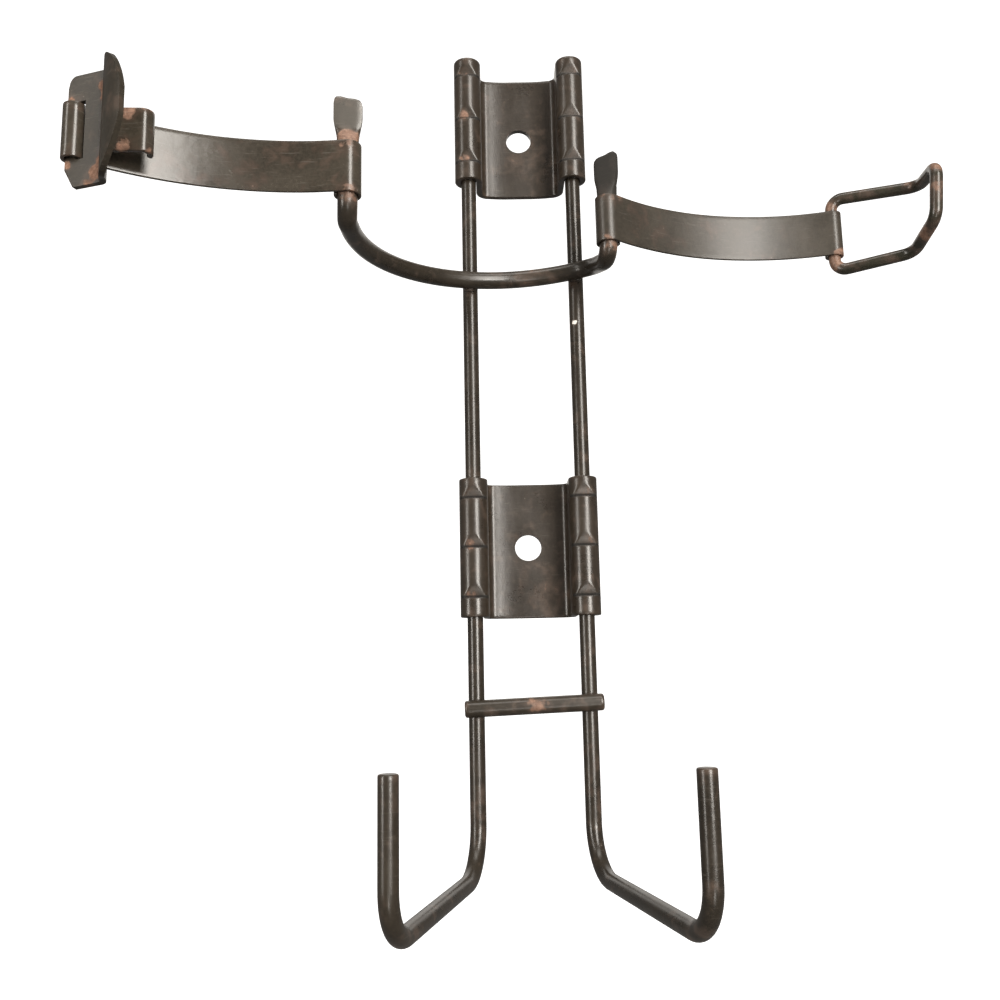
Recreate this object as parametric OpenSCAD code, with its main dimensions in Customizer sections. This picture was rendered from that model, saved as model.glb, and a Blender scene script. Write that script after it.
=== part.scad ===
// Wall or vehicle bracket for a portable extinguisher.
// Two steel rods with hooked feet run through two rolled mounting plates. A wire cradle and two
// hinged steel straps close round the cylinder, and a bail is drawn over the hook of a lever.
// Frame: X to the right, Y towards the wall (the wall is the plane Y = 0), Z up.
// Origin: midway between the two screw holes, on the wall. Millimetres, real size.

/* [Backbone rods] */
// Diameter of the two backbone rods
rod_d = 6.35; // [5:0.05:8]
// Distance between the two rods, centre to centre
rod_gap = 45; // [40:0.5:60]
// Distance from the wall to the rod centre line
rod_stand_off = 16.2; // [14:0.1:20]
// Height of the rod tops above the origin
rod_top = 122; // [100:0.5:140]
// Height of the foot arms' centre line (below the origin, so negative)
arm_z = -221; // [-240:0.5:-200]
// How far the hook tips stand apart, centre to centre
hook_gap = 93.2; // [80:0.2:120]
// How far the hooks reach out from the rods
hook_reach = 104.2; // [80:0.2:130]
// Height of the hook tips above the arms
hook_rise = 48.6; // [30:0.2:70]
// Bend radius between rod and arm
heel_r = 19; // [12:0.5:30]
// Bend radius between arm and hook tip
toe_r = 16; // [12:0.5:24]

/* [Mounting plates] */
// Sheet thickness of the plates
plate_t = 2.66; // [2:0.02:3.2]
// Length of each plate along the rods
plate_len = 56.5; // [45:0.5:70]
// Distance between the two screw holes
hole_spacing = 185; // [170:0.5:200]
// Screw hole diameter
hole_d = 11.1; // [8:0.1:13]
// How far each plate's middle lies outside its hole
plate_shift = 1.3; // [0:0.1:4]
// Spacing of the crimps along each rolled edge
crimp_pitch = 20.2; // [16:0.1:24]
// Depth of a crimp
crimp_depth = 1.5; // [0.5:0.1:2]

/* [Crossbar] */
// Crossbar diameter
bar_d = 6.6; // [5:0.1:8]
// Crossbar length
bar_len = 54.5; // [50:0.5:70]
// Height of the crossbar's middle
bar_z = -157.1; // [-180:0.5:-140]

/* [Cradle wire] */
// Diameter of the cradle wire
wire_d = 7.1; // [6:0.1:8]
// Radius of the cradle's centre line
cradle_r = 64.3; // [55:0.1:75]
// Height of the cradle where it crosses the middle
cradle_z = 20.1; // [10:0.1:40]
// Sideways tilt of the cradle wire, as rise over run
cradle_slope = 0.077; // [0:0.001:0.1]
// Height of the two hinge pins' tops, where the flat paddles begin
pin_top = 42.2; // [40:0.1:50]

/* [Straps] */
// Strap width
strap_w = 19.05; // [15:0.05:25]
// Strap thickness
strap_t = 1.2; // [0.9:0.05:2]
// Height of the straps' centre line
strap_z = 31.1; // [25:0.1:40]
// Radius of the left strap, to the middle of its thickness
left_r = 117; // [60:0.5:140]
// Radius of the right strap, to the middle of its thickness
right_r = 96.8; // [60:0.5:140]

/* [Bail and latch] */
// Bail wire diameter
bail_d = 4.76; // [4:0.02:6]
// Sheet thickness of the lever and its hook
lever_t = 1.9; // [1.2:0.05:2.5]
// Height of the lever plate
lever_h = 39; // [30:0.5:50]
// Width of the hook tab
hook_w = 15; // [10:0.5:18]

/* [Hidden] */
$fn = 48;

steel = [0.10, 0.085, 0.075];
worn = [0.20, 0.14, 0.11];

rod_x = rod_gap / 2;
rod_y = -rod_stand_off;
fit = 0.03;            // gap between a rod and the sheet rolled round it
run = 0.1;             // running clearance of the hinges, on the radius
seam_len = 0.3;
seam_step = 0.06;

// bent wire: straight lengths and circular bends through a list of corner points
function unit(v) = v / norm(v);
function turn(a, b) = acos(min(1, max(-1, a * b)));
function into(p, i) = unit(p[i] - p[i - 1]);
function away(p, i) = unit(p[i + 1] - p[i]);
function cut(p, r, i) = (i == 0 || i == len(p) - 1) ? 0 : r[i] * tan(turn(into(p, i), away(p, i)) / 2);

module straight(a, b, d) {
    v = b - a;
    translate(a) rotate([0, acos(v[2] / norm(v)), atan2(v[1], v[0])]) cylinder(h = norm(v), d = d);
}

module bend(p, r, i, d) {
    a = into(p, i);
    b = away(p, i);
    n = unit(cross(a, b));
    u = cross(a, n);
    c = p[i] - a * cut(p, r, i) - u * r[i];
    multmatrix([[u[0], a[0], n[0], c[0]], [u[1], a[1], n[1], c[1]], [u[2], a[2], n[2], c[2]]])
        rotate_extrude(angle = turn(a, b), $fn = 96) translate([r[i], 0]) circle(d = d, $fn = 32);
}

function after(p, r, i) = p[i] + into(p, i + 1) * cut(p, r, i);
function before(p, r, i) = p[i] - into(p, i) * cut(p, r, i);
function has_straight(p, r, i) = norm(before(p, r, i + 1) - after(p, r, i)) > 0.02;

module collar(at, dir, d) {
    // a hair thicker than the wire, so that the lengths on both sides join into one solid
    straight(at - dir * seam_len / 2, at + dir * seam_len / 2, d + seam_step);
}

module wire(p, r, d) {
    last = len(p) - 1;
    for (i = [0 : last - 1])
        if (has_straight(p, r, i)) straight(after(p, r, i), before(p, r, i + 1), d);
    for (i = [1 : last - 1]) {
        bend(p, r, i, d);
        collar(before(p, r, i), into(p, i), d);
        if (has_straight(p, r, i)) collar(after(p, r, i), away(p, i), d);
    }
}

module seam(at, dir, t, h) {
    // the same for sheet: dir is the direction in which the sheet runs
    translate([at[0], at[1], 0]) rotate([0, 0, dir])
        translate([-seam_len / 2, -(t + seam_step) / 2, -seam_step / 2])
        cube([seam_len, t + seam_step, h + seam_step]);
}

// part of a rolled sheet: a ring sector about the Z axis
module roll(r_in, t, from, sweep, h) {
    rotate([0, 0, from]) rotate_extrude(angle = sweep, $fn = 96)
        translate([r_in, 0]) square([t, h]);
}

// backbone rods -------------------------------------------------------------------------------
end_chamfer = 0.6;

module rod(side) {
    heel = [side * rod_x, rod_y, arm_z];
    toe = [side * hook_gap / 2, rod_y - hook_reach, arm_z];
    tip = [toe[0], toe[1], arm_z + hook_rise - end_chamfer];
    wire([[heel[0], heel[1], rod_top], heel, toe, tip], [0, heel_r, toe_r, 0], rod_d);
    translate(tip) cylinder(h = end_chamfer, d1 = rod_d, d2 = rod_d - 2 * end_chamfer);
}

module left_rod() { color(steel) rod(-1); }

module right_rod() { color(steel) rod(1); }

// mounting plates -----------------------------------------------------------------------------
curl_in = rod_d / 2 + fit;
curl_out = curl_in + plate_t;
wall_x = rod_x - curl_out;             // inner face of each side wall
web_bend = 2.85;                       // inside radius between web and side wall
web_half = wall_x - web_bend;
curl_end = 72;                         // where the rolled edge stops, behind the rod

module crimp(z) {
    // a chisel mark: a long ramp that ends in a steep step
    ramp = 6.5;
    front = rod_y - curl_out;
    translate([rod_x - curl_out - 1, 0, z]) rotate([90, 0, 90])
        linear_extrude(height = 2 * curl_out + 2)
        polygon([[front - 1, ramp + 1], [front, ramp], [front + crimp_depth, 0.6],
                 [front + crimp_depth, 0], [front - 1, -0.9]]);
}

module half_plate() {
    difference() {
        union() {
            translate([0, -plate_t, 0]) cube([web_half, plate_t, plate_len]);
            translate([web_half, -plate_t - web_bend, 0]) roll(web_bend, plate_t, 0, 90, plate_len);
            translate([wall_x, rod_y, 0])
                cube([plate_t, rod_stand_off - plate_t - web_bend, plate_len]);
            translate([rod_x, rod_y, 0]) roll(curl_in, plate_t, 180, 180 + curl_end, plate_len);
        }
        for (k = [-1 : 1]) crimp(plate_len / 2 + k * crimp_pitch);
    }
}

module plate(z_mid, hole_z) {
    difference() {
        translate([0, 0, z_mid - plate_len / 2]) {
            half_plate();
            mirror([1, 0, 0]) half_plate();
        }
        translate([0, 1, hole_z]) rotate([90, 0, 0]) cylinder(h = plate_t + 2, d = hole_d);
    }
}

module upper_plate() { color(steel) plate(hole_spacing / 2 + plate_shift, hole_spacing / 2); }

module lower_plate() { color(steel) plate(-hole_spacing / 2 - plate_shift, -hole_spacing / 2); }

// crossbar ------------------------------------------------------------------------------------
bar_tilt = 2;                          // degrees, right end up
bar_y = rod_y - rod_d / 2 - bar_d / 2 - fit;
bar_off = 0.25;                        // sideways shift of the bar's middle
bar_chamfer = 0.8;

module bar_solid(d, grow) {
    translate([bar_off, bar_y, bar_z]) rotate([0, 90 - bar_tilt, 0])
        translate([0, 0, -bar_len / 2]) {
            translate([0, 0, bar_chamfer]) cylinder(h = bar_len - 2 * bar_chamfer, d = d + grow);
            cylinder(h = bar_chamfer, d1 = d - 2 * bar_chamfer + grow, d2 = d + grow);
            translate([0, 0, bar_len - bar_chamfer])
                cylinder(h = bar_chamfer, d1 = d + grow, d2 = d - 2 * bar_chamfer + grow);
        }
}

module crossbar() { color(steel) bar_solid(bar_d, 0); }

weld_len = 5.4;
weld_d = 3.4;
weld_gap = 0.04;

module bar_weld(side) {
    // two small beads in the corners above and below the bar
    z_here = bar_z + (side * rod_x - bar_off) * tan(bar_tilt);
    difference() {
        for (s = [-1, 1])
            translate([side * rod_x, rod_y - rod_d / 2 - 0.9, z_here + s * (bar_d / 2 - 0.7)])
                rotate([0, 90, 0]) translate([0, 0, -weld_len / 2]) cylinder(h = weld_len, d = weld_d);
        translate([side * rod_x, rod_y, z_here - 10]) cylinder(h = 20, d = rod_d + weld_gap);
        translate([bar_off, bar_y, bar_z]) rotate([0, 90 - bar_tilt, 0])
            translate([0, 0, -bar_len / 2]) cylinder(h = bar_len, d = bar_d + weld_gap);
    }
}

module crossbar_welds() {
    color(worn) {
        bar_weld(-1);
        bar_weld(1);
    }
}

// cradle wire ---------------------------------------------------------------------------------
cradle_touch = cradle_r + wire_d / 2 + rod_d / 2 + fit;
cradle_y = rod_y - sqrt(cradle_touch * cradle_touch - rod_x * rod_x);
left_pin = [-63.5, -93.7];
right_pin = [33, -50.2];
elbow_r = 6.4;
right_elbow_r = 4.6;                   // tighter, so that the bend begins below the strap's eye
left_foot_z = 15.2;
right_foot_z = 15.3;
right_bend_r = 10.5;
arc_from = 189;                        // degrees, where the round part begins at the left
arc_to = acos(rod_x / cradle_r);
arc_steps = 3;
arc_step = (arc_to - arc_from) / arc_steps;
corner_r = cradle_r / cos(arc_step / 2);

function on_slope(x, y) = [x, y, cradle_z + cradle_slope * x];
function corner(k) = on_slope(corner_r * cos(arc_from + (k + 0.5) * arc_step),
                              cradle_y + corner_r * sin(arc_from + (k + 0.5) * arc_step));
right_run = 7;
right_corner = on_slope(rod_x + right_run * sin(arc_to),
                        cradle_y + cradle_r * sin(arc_to) - right_run * cos(arc_to));

paddle_h = 17.4;
paddle_t = 3;
paddle_w = 10.4;

module paddle(at, angle) {
    // the pin's end pressed flat, wider than the strap's eye
    translate([at[0], at[1], pin_top]) rotate([0, 0, angle]) rotate([90, 0, 0])
        translate([0, 0, -paddle_t / 2]) linear_extrude(height = paddle_t)
        polygon([[-2.7, -0.9], [2.7, -0.9], [paddle_w / 2 - 1.1, 4.5],
                 [paddle_w / 2 - 0.2, 9], [paddle_w / 2, paddle_h - 2.4],
                 [paddle_w / 2 - 0.6, paddle_h - 0.7], [paddle_w / 2 - 2, paddle_h],
                 [-paddle_w / 2 + 2, paddle_h], [-paddle_w / 2 + 0.6, paddle_h - 0.7],
                 [-paddle_w / 2, paddle_h - 2.4], [-paddle_w / 2 + 0.2, 9],
                 [-paddle_w / 2 + 1.1, 4.5]]);
    // the shoulder where the round pin runs into the flat
    translate([at[0], at[1], pin_top - 0.5]) cylinder(h = 4.6, d1 = wire_d - 0.3, d2 = 2.2);
}

module cradle_wire() {
    color(steel) {
        wire([[left_pin[0], left_pin[1], pin_top], [left_pin[0], left_pin[1], left_foot_z],
              corner(0), corner(1), corner(2), right_corner,
              [right_pin[0], right_pin[1], right_foot_z], [right_pin[0], right_pin[1], pin_top]],
             [0, elbow_r, cradle_r, cradle_r, cradle_r, right_bend_r, right_elbow_r, 0], wire_d);
        paddle(left_pin, 4);
        paddle(right_pin, -38);
    }
}

module cradle_weld(side) {
    x = rod_x * cradle_r / cradle_touch * side;
    z_here = cradle_z + cradle_slope * x;
    skew = -atan(rod_x / sqrt(cradle_touch * cradle_touch - rod_x * rod_x)) * side;
    difference() {
        for (s = [-1, 1])
            translate([side * rod_x, rod_y - rod_d / 2 - 1, z_here + s * (wire_d / 2 - 0.7)])
                rotate([0, 90, 0]) translate([0, 0, -weld_len / 2]) cylinder(h = weld_len, d = weld_d);
        translate([side * rod_x, rod_y, z_here - 10]) cylinder(h = 20, d = rod_d + weld_gap);
        translate([x, cradle_y + cradle_r * cos(asin(x / cradle_r)), z_here])
            rotate([0, 0, skew]) rotate([0, 90 - atan(cradle_slope), 0])
            translate([0, 0, -12]) cylinder(h = 24, d = wire_d + 0.35);
    }
}

module cradle_welds() {
    color(worn) {
        cradle_weld(-1);
        cradle_weld(1);
    }
}

// straps --------------------------------------------------------------------------------------
eye_in = wire_d / 2 + run;
strap_low = strap_z - strap_w / 2;
pin_off = strap_t / 2 + eye_in;        // from the strap's middle surface to the pin centre

// left strap: centre of its curve, then the angle at its pin and at its knuckle
left_dir = 263.83;                     // degrees, from the left pin to the centre of the curve
left_c = left_pin + (left_r + pin_off) * [cos(left_dir), sin(left_dir)];
left_from = left_dir - 180;
left_to = 127.7;
knuckle_in = 2.45;
knuckle_mid = knuckle_in + strap_t / 2;
knuckle_lift = 0.3;
knuckle_at = left_c + (left_r + knuckle_lift) * [cos(left_to), sin(left_to)];
jog_r = 3;
jog_y = jog_r - knuckle_lift;
jog_x = sqrt((jog_r + knuckle_mid) * (jog_r + knuckle_mid) - jog_y * jog_y);
jog_angle = atan2(jog_y, jog_x);
jog_sweep = 90 - jog_angle;
left_stop = left_to - jog_x / left_r * 180 / PI;
function at(c, r, a) = c + r * [cos(a), sin(a)];

module left_strap() {
    color(steel) translate([0, 0, strap_low]) {
        translate([left_c[0], left_c[1], 0])
            roll(left_r - strap_t / 2, strap_t, left_from, left_stop - left_from, strap_w);
        translate([left_pin[0], left_pin[1], 0]) roll(eye_in, strap_t, left_dir, 296, strap_w);
        seam(at(left_pin, pin_off, left_dir), left_dir + 90, strap_t, strap_w);
        seam(at(left_c, left_r, left_stop), left_stop + 90, strap_t + 0.25, strap_w);
        // the knuckle, seen along the strap: x back towards the pin, y away from the cylinder
        translate([knuckle_at[0], knuckle_at[1], 0]) rotate([0, 0, left_to - 90]) {
            translate([jog_x, jog_y, 0])
                roll(jog_r - strap_t / 2, strap_t, 180 + jog_angle, jog_sweep, strap_w);
            roll(knuckle_in, strap_t, jog_angle, 318 - jog_angle, strap_w);
            seam(at([0, 0], knuckle_mid, jog_angle), jog_angle + 90, strap_t, strap_w);
        }
    }
}

// right strap
bail_in = bail_d / 2 + run;
right_dir = 309.55;                    // degrees, from the right pin to the centre of the curve
right_c = right_pin + (right_r + pin_off) * [cos(right_dir), sin(right_dir)];
right_from = 72.13;
bail_at = right_c + (right_r + strap_t / 2 + bail_in) * [cos(right_from), sin(right_from)];

module right_strap() {
    color(steel) translate([0, 0, strap_low]) {
        translate([right_c[0], right_c[1], 0])
            roll(right_r - strap_t / 2, strap_t, right_from, right_dir - 180 - right_from, strap_w);
        translate([right_pin[0], right_pin[1], 0])
            roll(eye_in, strap_t, right_dir - 296, 296, strap_w);
        translate([bail_at[0], bail_at[1], 0])
            roll(bail_in, strap_t, right_from + 180, 296, strap_w);
        seam(at(right_pin, pin_off, right_dir), right_dir + 90, strap_t, strap_w);
        seam(at(right_c, right_r, right_from), right_from + 90, strap_t, strap_w);
    }
}

// bail ----------------------------------------------------------------------------------------
bail_near = 15.6;                      // half height of the loop at its eye
bail_high_kick = [159, -47.3, 14];     // corners of the bent wire, the height from the loop's middle
bail_high_end = [157, -67.7, 12.4];
bail_low_end = [155, -67.7, -8.6];
bail_low_kick = [154.5, -47.3, -14];
bail_join = 3;                         // the wire's two ends meet a little above the middle

module bail() {
    near = [bail_at[0], bail_at[1]];
    lift = [0, 0, strap_z];
    color(steel)
        wire([[near[0], near[1], strap_z + bail_join - 1],
              [near[0], near[1], strap_z + bail_near],
              bail_high_kick + lift, bail_high_end + lift, bail_low_end + lift, bail_low_kick + lift,
              [near[0], near[1], strap_z - bail_near],
              [near[0], near[1], strap_z + bail_join - 1]],
             [0, 4.6, 7, 5.5, 5.5, 7, 4.6, 0], bail_d);
    color(steel) collar([near[0], near[1], strap_z + bail_join - 1], [0, 0, 1], bail_d);
}

// latch lever ---------------------------------------------------------------------------------
lever_angle = -17.7;                   // degrees, direction of the lever plate in plan
bar_half = 2;                          // half width of the bar held in the strap's knuckle
slot_end = 5;
slot_h = 20.2;
plate_end = 11.4;                      // where the flat of the lever ends and the thumb flange begins
fold_in = 1.5;                         // inside radius of that fold
fold_sweep = 63.6;
flange_r = 18.9;                       // radius of the curled thumb flange
flange_sweep = 66.6;
flange_h = 40.6;
rim_r = 20.7;                          // radius of its rounded rim
rim_c = -3.1;                          // distance of the rim's centre from the fold
chord_angle = -48;                     // direction of the flange's chord, from the X axis

module lever_frame() {
    translate([knuckle_at[0], knuckle_at[1], strap_z]) rotate([0, 0, lever_angle]) children();
}

module lever_blank() {
    rotate([90, 0, 0]) translate([0, 0, -lever_t / 2]) linear_extrude(height = lever_t)
        difference() {
            polygon([[-bar_half, -13], [1.8, -lever_h / 2 + 0.4], [2.8, -lever_h / 2],
                     [plate_end, -lever_h / 2], [plate_end, lever_h / 2], [2.6, lever_h / 2],
                     [1.2, lever_h / 2 - 0.8], [-bar_half + 0.3, 14.5], [-bar_half, 12.5]]);
            translate([bar_half, -slot_h / 2]) square([slot_end - bar_half, slot_h]);
        }
}

module thumb_flange() {
    fold_mid = fold_in + lever_t / 2;
    fold_out = [plate_end + fold_mid * sin(fold_sweep), -fold_mid * (1 - cos(fold_sweep))];
    curl_dir = 90 - fold_sweep;
    curl_c = fold_out + flange_r * [cos(curl_dir), sin(curl_dir)];
    translate([plate_end, -fold_mid, -lever_h / 2])
        roll(fold_in, lever_t, 90 - fold_sweep, fold_sweep, lever_h);
    translate([0, 0, -lever_h / 2]) {
        seam([plate_end, 0], 0, lever_t, lever_h);
        seam(fold_out, -fold_sweep, lever_t, lever_h);
    }
    intersection() {
        translate([curl_c[0], curl_c[1], -flange_h / 2])
            roll(flange_r - lever_t / 2, lever_t, curl_dir + 180, flange_sweep, flange_h);
        translate([fold_out[0], fold_out[1], 0]) rotate([0, 0, chord_angle - lever_angle])
            translate([rim_c, 40, 0]) rotate([90, 0, 0]) cylinder(h = 80, r = rim_r, $fn = 96);
    }
}

module latch_lever() {
    color(steel) lever_frame() {
        lever_blank();
        thumb_flange();
    }
}

// latch hook: a narrow tab spot welded to the strap side of the lever
hook_from = 5.6;
hook_flat = 11;
hook_rise_angle = 20;
hook_bend = 4;
hook_run = 9.4;
hook_curl = 1.6;

module latch_hook() {
    back = lever_t / 2 + 0.03;
    bend_c = [hook_flat, back + lever_t + hook_bend];
    run_at = bend_c + (hook_bend + lever_t) * [sin(hook_rise_angle), -cos(hook_rise_angle)];
    color(worn) lever_frame() translate([0, 0, -hook_w / 2]) {
        translate([hook_from, back, 0]) cube([hook_flat - hook_from, lever_t, hook_w]);
        translate([bend_c[0], bend_c[1], 0])
            roll(hook_bend, lever_t, 270, hook_rise_angle, hook_w);
        translate([run_at[0], run_at[1], 0]) rotate([0, 0, hook_rise_angle]) {
            cube([hook_run, lever_t, hook_w]);
            translate([hook_run, lever_t + hook_curl, 0]) roll(hook_curl, lever_t, 270, 130, hook_w);
        }
    }
}

left_rod();
right_rod();
upper_plate();
lower_plate();
crossbar();
crossbar_welds();
cradle_wire();
cradle_welds();
left_strap();
right_strap();
bail();
latch_lever();
latch_hook();
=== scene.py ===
"""Wall bracket for a portable extinguisher.

The visible pieces, their worn enamel, the lights and the camera. Lengths are in millimetres up to
mesh_object, which turns them into metres. X is right, Y is towards the wall, Z is up.
"""

import math

import bmesh
import bpy
from mathutils import Matrix, Vector, noise


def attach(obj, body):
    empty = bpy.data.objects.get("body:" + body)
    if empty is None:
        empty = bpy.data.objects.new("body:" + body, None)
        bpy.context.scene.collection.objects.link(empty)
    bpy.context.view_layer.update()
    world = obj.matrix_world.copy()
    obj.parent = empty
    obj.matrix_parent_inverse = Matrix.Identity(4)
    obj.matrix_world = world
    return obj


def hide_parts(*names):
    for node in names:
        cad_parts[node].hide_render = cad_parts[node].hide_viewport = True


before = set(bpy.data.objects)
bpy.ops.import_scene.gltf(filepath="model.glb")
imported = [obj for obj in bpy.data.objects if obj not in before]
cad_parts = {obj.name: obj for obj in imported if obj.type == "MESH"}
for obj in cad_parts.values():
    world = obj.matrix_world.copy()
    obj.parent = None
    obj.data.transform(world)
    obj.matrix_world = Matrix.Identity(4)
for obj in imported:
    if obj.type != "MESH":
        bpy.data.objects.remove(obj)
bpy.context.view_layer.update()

MM = 0.001


def v3(x, y, z=0.0):
    return Vector((x, y, z))


def polar(angle, radius=1.0):
    a = math.radians(angle)
    return Vector((radius * math.cos(a), radius * math.sin(a)))


def smooth(x, lo, hi):
    t = min(1.0, max(0.0, (x - lo) / (hi - lo)))
    return t * t * (3 - 2 * t)


# ---------------------------------------------------------------- dimensions, millimetres
TOUCH_GAP = 0.03  # between pieces that touch
TURN_GAP = 0.1  # between a hinge pin and the eye round it
ROD_D, ROD_X, ROD_Y, ROD_TOP = 6.35, 22.5, -16.2, 122.0
ARM_Z, HOOK_X, HOOK_REACH, HOOK_RISE = -221.0, 46.6, 104.2, 48.6
HEEL_R, TOE_R = 19.0, 16.0
PLATE_T, PLATE_LEN, HOLE_Z, HOLE_D, PLATE_SHIFT = 2.66, 56.5, 92.5, 11.1, 1.3
CURL_IN = ROD_D / 2 + TOUCH_GAP
CURL_OUT = CURL_IN + PLATE_T
WEB_BEND_IN = 2.85  # inner radius between the web and a side wall
CURL_TO = 252  # where the rolled edge ends, degrees
CRIMP_PITCH, CRIMP_DEPTH, CRIMP_RAMP, CRIMP_STEP = 20.2, 1.9, 5.6, 0.5
CRIMP_ROWS = (-1.0, -0.5, -0.25, 0.0, 0.2, 0.45, 0.8, 1.3, 1.9, 2.6, 3.4, 4.4, 5.6, 6.4)
WEB_DISH = 0.75
BAR_D, BAR_LEN, BAR_Z, BAR_TILT = 6.6, 54.5, -157.1, 2.0
BAR_Y = ROD_Y - ROD_D / 2 - BAR_D / 2 - TOUCH_GAP
WIRE_D, CRADLE_R, CRADLE_Z, CRADLE_SLOPE = 7.1, 64.3, 20.1, 0.077
PIN_TOP, PADDLE_H = 42.2, 17.4
LEFT_PIN, RIGHT_PIN = Vector((-63.5, -93.7)), Vector((33.0, -50.2))
STRAP_W, STRAP_T, STRAP_Z = 19.05, 1.2, 31.1
LEFT_R, RIGHT_R = 117.0, 96.8
LEFT_DIR, RIGHT_DIR = 263.83, 309.55
BAIL_D, LEVER_T = 4.76, 1.9


# ---------------------------------------------------------------- mesh helpers
def mesh_object(name, verts, faces):
    """A smooth-shaded mesh from points in millimetres."""
    me = bpy.data.meshes.new(name)
    me.from_pydata([v * MM for v in verts], [], faces)
    bm = bmesh.new()
    bm.from_mesh(me)
    bmesh.ops.remove_doubles(bm, verts=bm.verts, dist=1e-7)
    bmesh.ops.recalc_face_normals(bm, faces=bm.faces)
    bm.to_mesh(me)
    bm.free()
    me.shade_smooth()
    ob = bpy.data.objects.new(name, me)
    bpy.context.scene.collection.objects.link(ob)
    return ob


def apply_modifiers(ob):
    """Bakes the modifiers into the mesh."""
    dg = bpy.context.evaluated_depsgraph_get()
    me = bpy.data.meshes.new_from_object(ob.evaluated_get(dg))
    ob.modifiers.clear()
    old, ob.data = ob.data, me
    bpy.data.meshes.remove(old)


def crisp(ob, angle=35):
    """Smooth shading that keeps the sheet's corners."""
    bm = bmesh.new()
    bm.from_mesh(ob.data)
    for f in bm.faces:
        f.smooth = True
    for e in bm.edges:
        e.smooth = not (len(e.link_faces) == 2 and e.calc_face_angle(0) > math.radians(angle))
    bm.to_mesh(ob.data)
    bm.free()


def wire_path(corners, radii, step=1.2):
    """Points along a bent wire: straight lengths and circular bends through the corner points."""
    pts = [corners[0]]
    for i in range(1, len(corners) - 1):
        a = (corners[i] - corners[i - 1]).normalized()
        b = (corners[i + 1] - corners[i]).normalized()
        r = radii[i]
        turn = a.angle(b)
        if turn < 1e-5 or r <= 0:
            pts.append(corners[i])
            continue
        start = corners[i] - a * r * math.tan(turn / 2)
        side = (b - a * a.dot(b)).normalized()
        centre = start + side * r
        n = max(3, int(math.ceil(r * turn / step)))
        for k in range(n + 1):
            t = turn * k / n
            pts.append(centre - side * r * math.cos(t) + a * r * math.sin(t))
    pts.append(corners[-1])
    # long lengths are divided, and points that would run backwards are dropped
    out = [pts[0]]
    for p in pts[1:]:
        gap = (p - out[-1]).length
        if gap < 1e-4 or (len(out) > 1 and (p - out[-1]).dot(out[-1] - out[-2]) < 0):
            continue
        n = int(gap // (step * 1.6))
        base = out[-1].copy()
        for k in range(1, n + 1):
            out.append(base.lerp(p, k / (n + 1)))
        out.append(p)
    return out


def tube(name, pts, radius, sides=28, closed=False, caps=0.0, flat=None):
    """A swept wire whose open ends are eased over the length caps. flat(point) may return another
    cross-section: half width, half thickness, direction of the width, power of the superellipse."""
    n = len(pts)
    tangents = []
    for i in range(n):
        if closed:
            t = pts[(i + 1) % n] - pts[i - 1]
        else:
            t = pts[min(i + 1, n - 1)] - pts[max(i - 1, 0)]
        tangents.append(t.normalized())
    up = v3(0, 1) if abs(tangents[0].y) < 0.9 else v3(1, 0)
    u = (up - tangents[0] * up.dot(tangents[0])).normalized()
    frames = [u]
    for i in range(1, n):
        q = tangents[i - 1].rotation_difference(tangents[i])
        u = q @ frames[-1]
        frames.append((u - tangents[i] * u.dot(tangents[i])).normalized())
    twist = 0.0
    if closed:
        q = tangents[-1].rotation_difference(tangents[0])
        back = q @ frames[-1]
        twist = math.atan2(tangents[0].dot(back.cross(frames[0])), back.dot(frames[0]))
    dist = [0.0]
    for i in range(1, n):
        dist.append(dist[-1] + (pts[i] - pts[i - 1]).length)
    total = dist[-1]

    def ring(centre, t, u, shrink=0.0):
        w = t.cross(u)
        shape = flat(centre) if flat else None
        out = []
        for k in range(sides):
            a = 2 * math.pi * k / sides
            r = radius
            if shape:
                half_w, half_t, along, power = shape
                along = (along - t * along.dot(t)).normalized()
                phi = a - math.atan2(along.dot(w), along.dot(u))
                wide, thick = abs(math.cos(phi) / half_w), abs(math.sin(phi) / half_t)
                r = (wide**power + thick**power) ** (-1 / power)
            out.append(centre + (u * math.cos(a) + w * math.sin(a)) * (r - shrink))
        return out

    rings = []
    for i in range(n):
        u = frames[i]
        if closed and abs(twist) > 1e-6:
            u = Matrix.Rotation(twist * i / n, 3, tangents[i]) @ u
        if not closed and i == 0:
            for c, shrink in ((0.0, caps), (caps * 0.3, caps * 0.3), (caps, 0.0)):
                rings.append(ring(pts[0] + tangents[0] * c, tangents[0], u, shrink))
        elif not closed and i == n - 1:
            for c, shrink in ((caps, 0.0), (caps * 0.3, caps * 0.3), (0.0, caps)):
                rings.append(ring(pts[-1] - tangents[-1] * c, tangents[-1], u, shrink))
        elif closed or min(dist[i], total - dist[i]) >= caps * 1.2:
            rings.append(ring(pts[i], tangents[i], u))
    verts = [p for r in rings for p in r]
    faces = []
    m = len(rings)
    for i in range(m if closed else m - 1):
        j = (i + 1) % m
        for k in range(sides):
            l = (k + 1) % sides
            faces.append((i * sides + k, i * sides + l, j * sides + l, j * sides + k))
    if not closed:
        faces.append(tuple(range(sides))[::-1])
        faces.append(tuple((m - 1) * sides + k for k in range(sides)))
    ob = mesh_object(name, verts, faces)
    crisp(ob, 50)
    return ob


def arc_points(centre, radius, start, sweep, step=4.0):
    """Points of a plan arc, angles in degrees."""
    n = max(2, int(math.ceil(abs(sweep) / step)))
    return [centre + polar(start + sweep * k / n, radius) for k in range(n + 1)]


def dedupe(pts):
    """Leaves out points that repeat the one before."""
    out = [pts[0]]
    for p in pts[1:]:
        if (p - out[-1]).length > 0.02:
            out.append(p)
    return out


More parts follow.
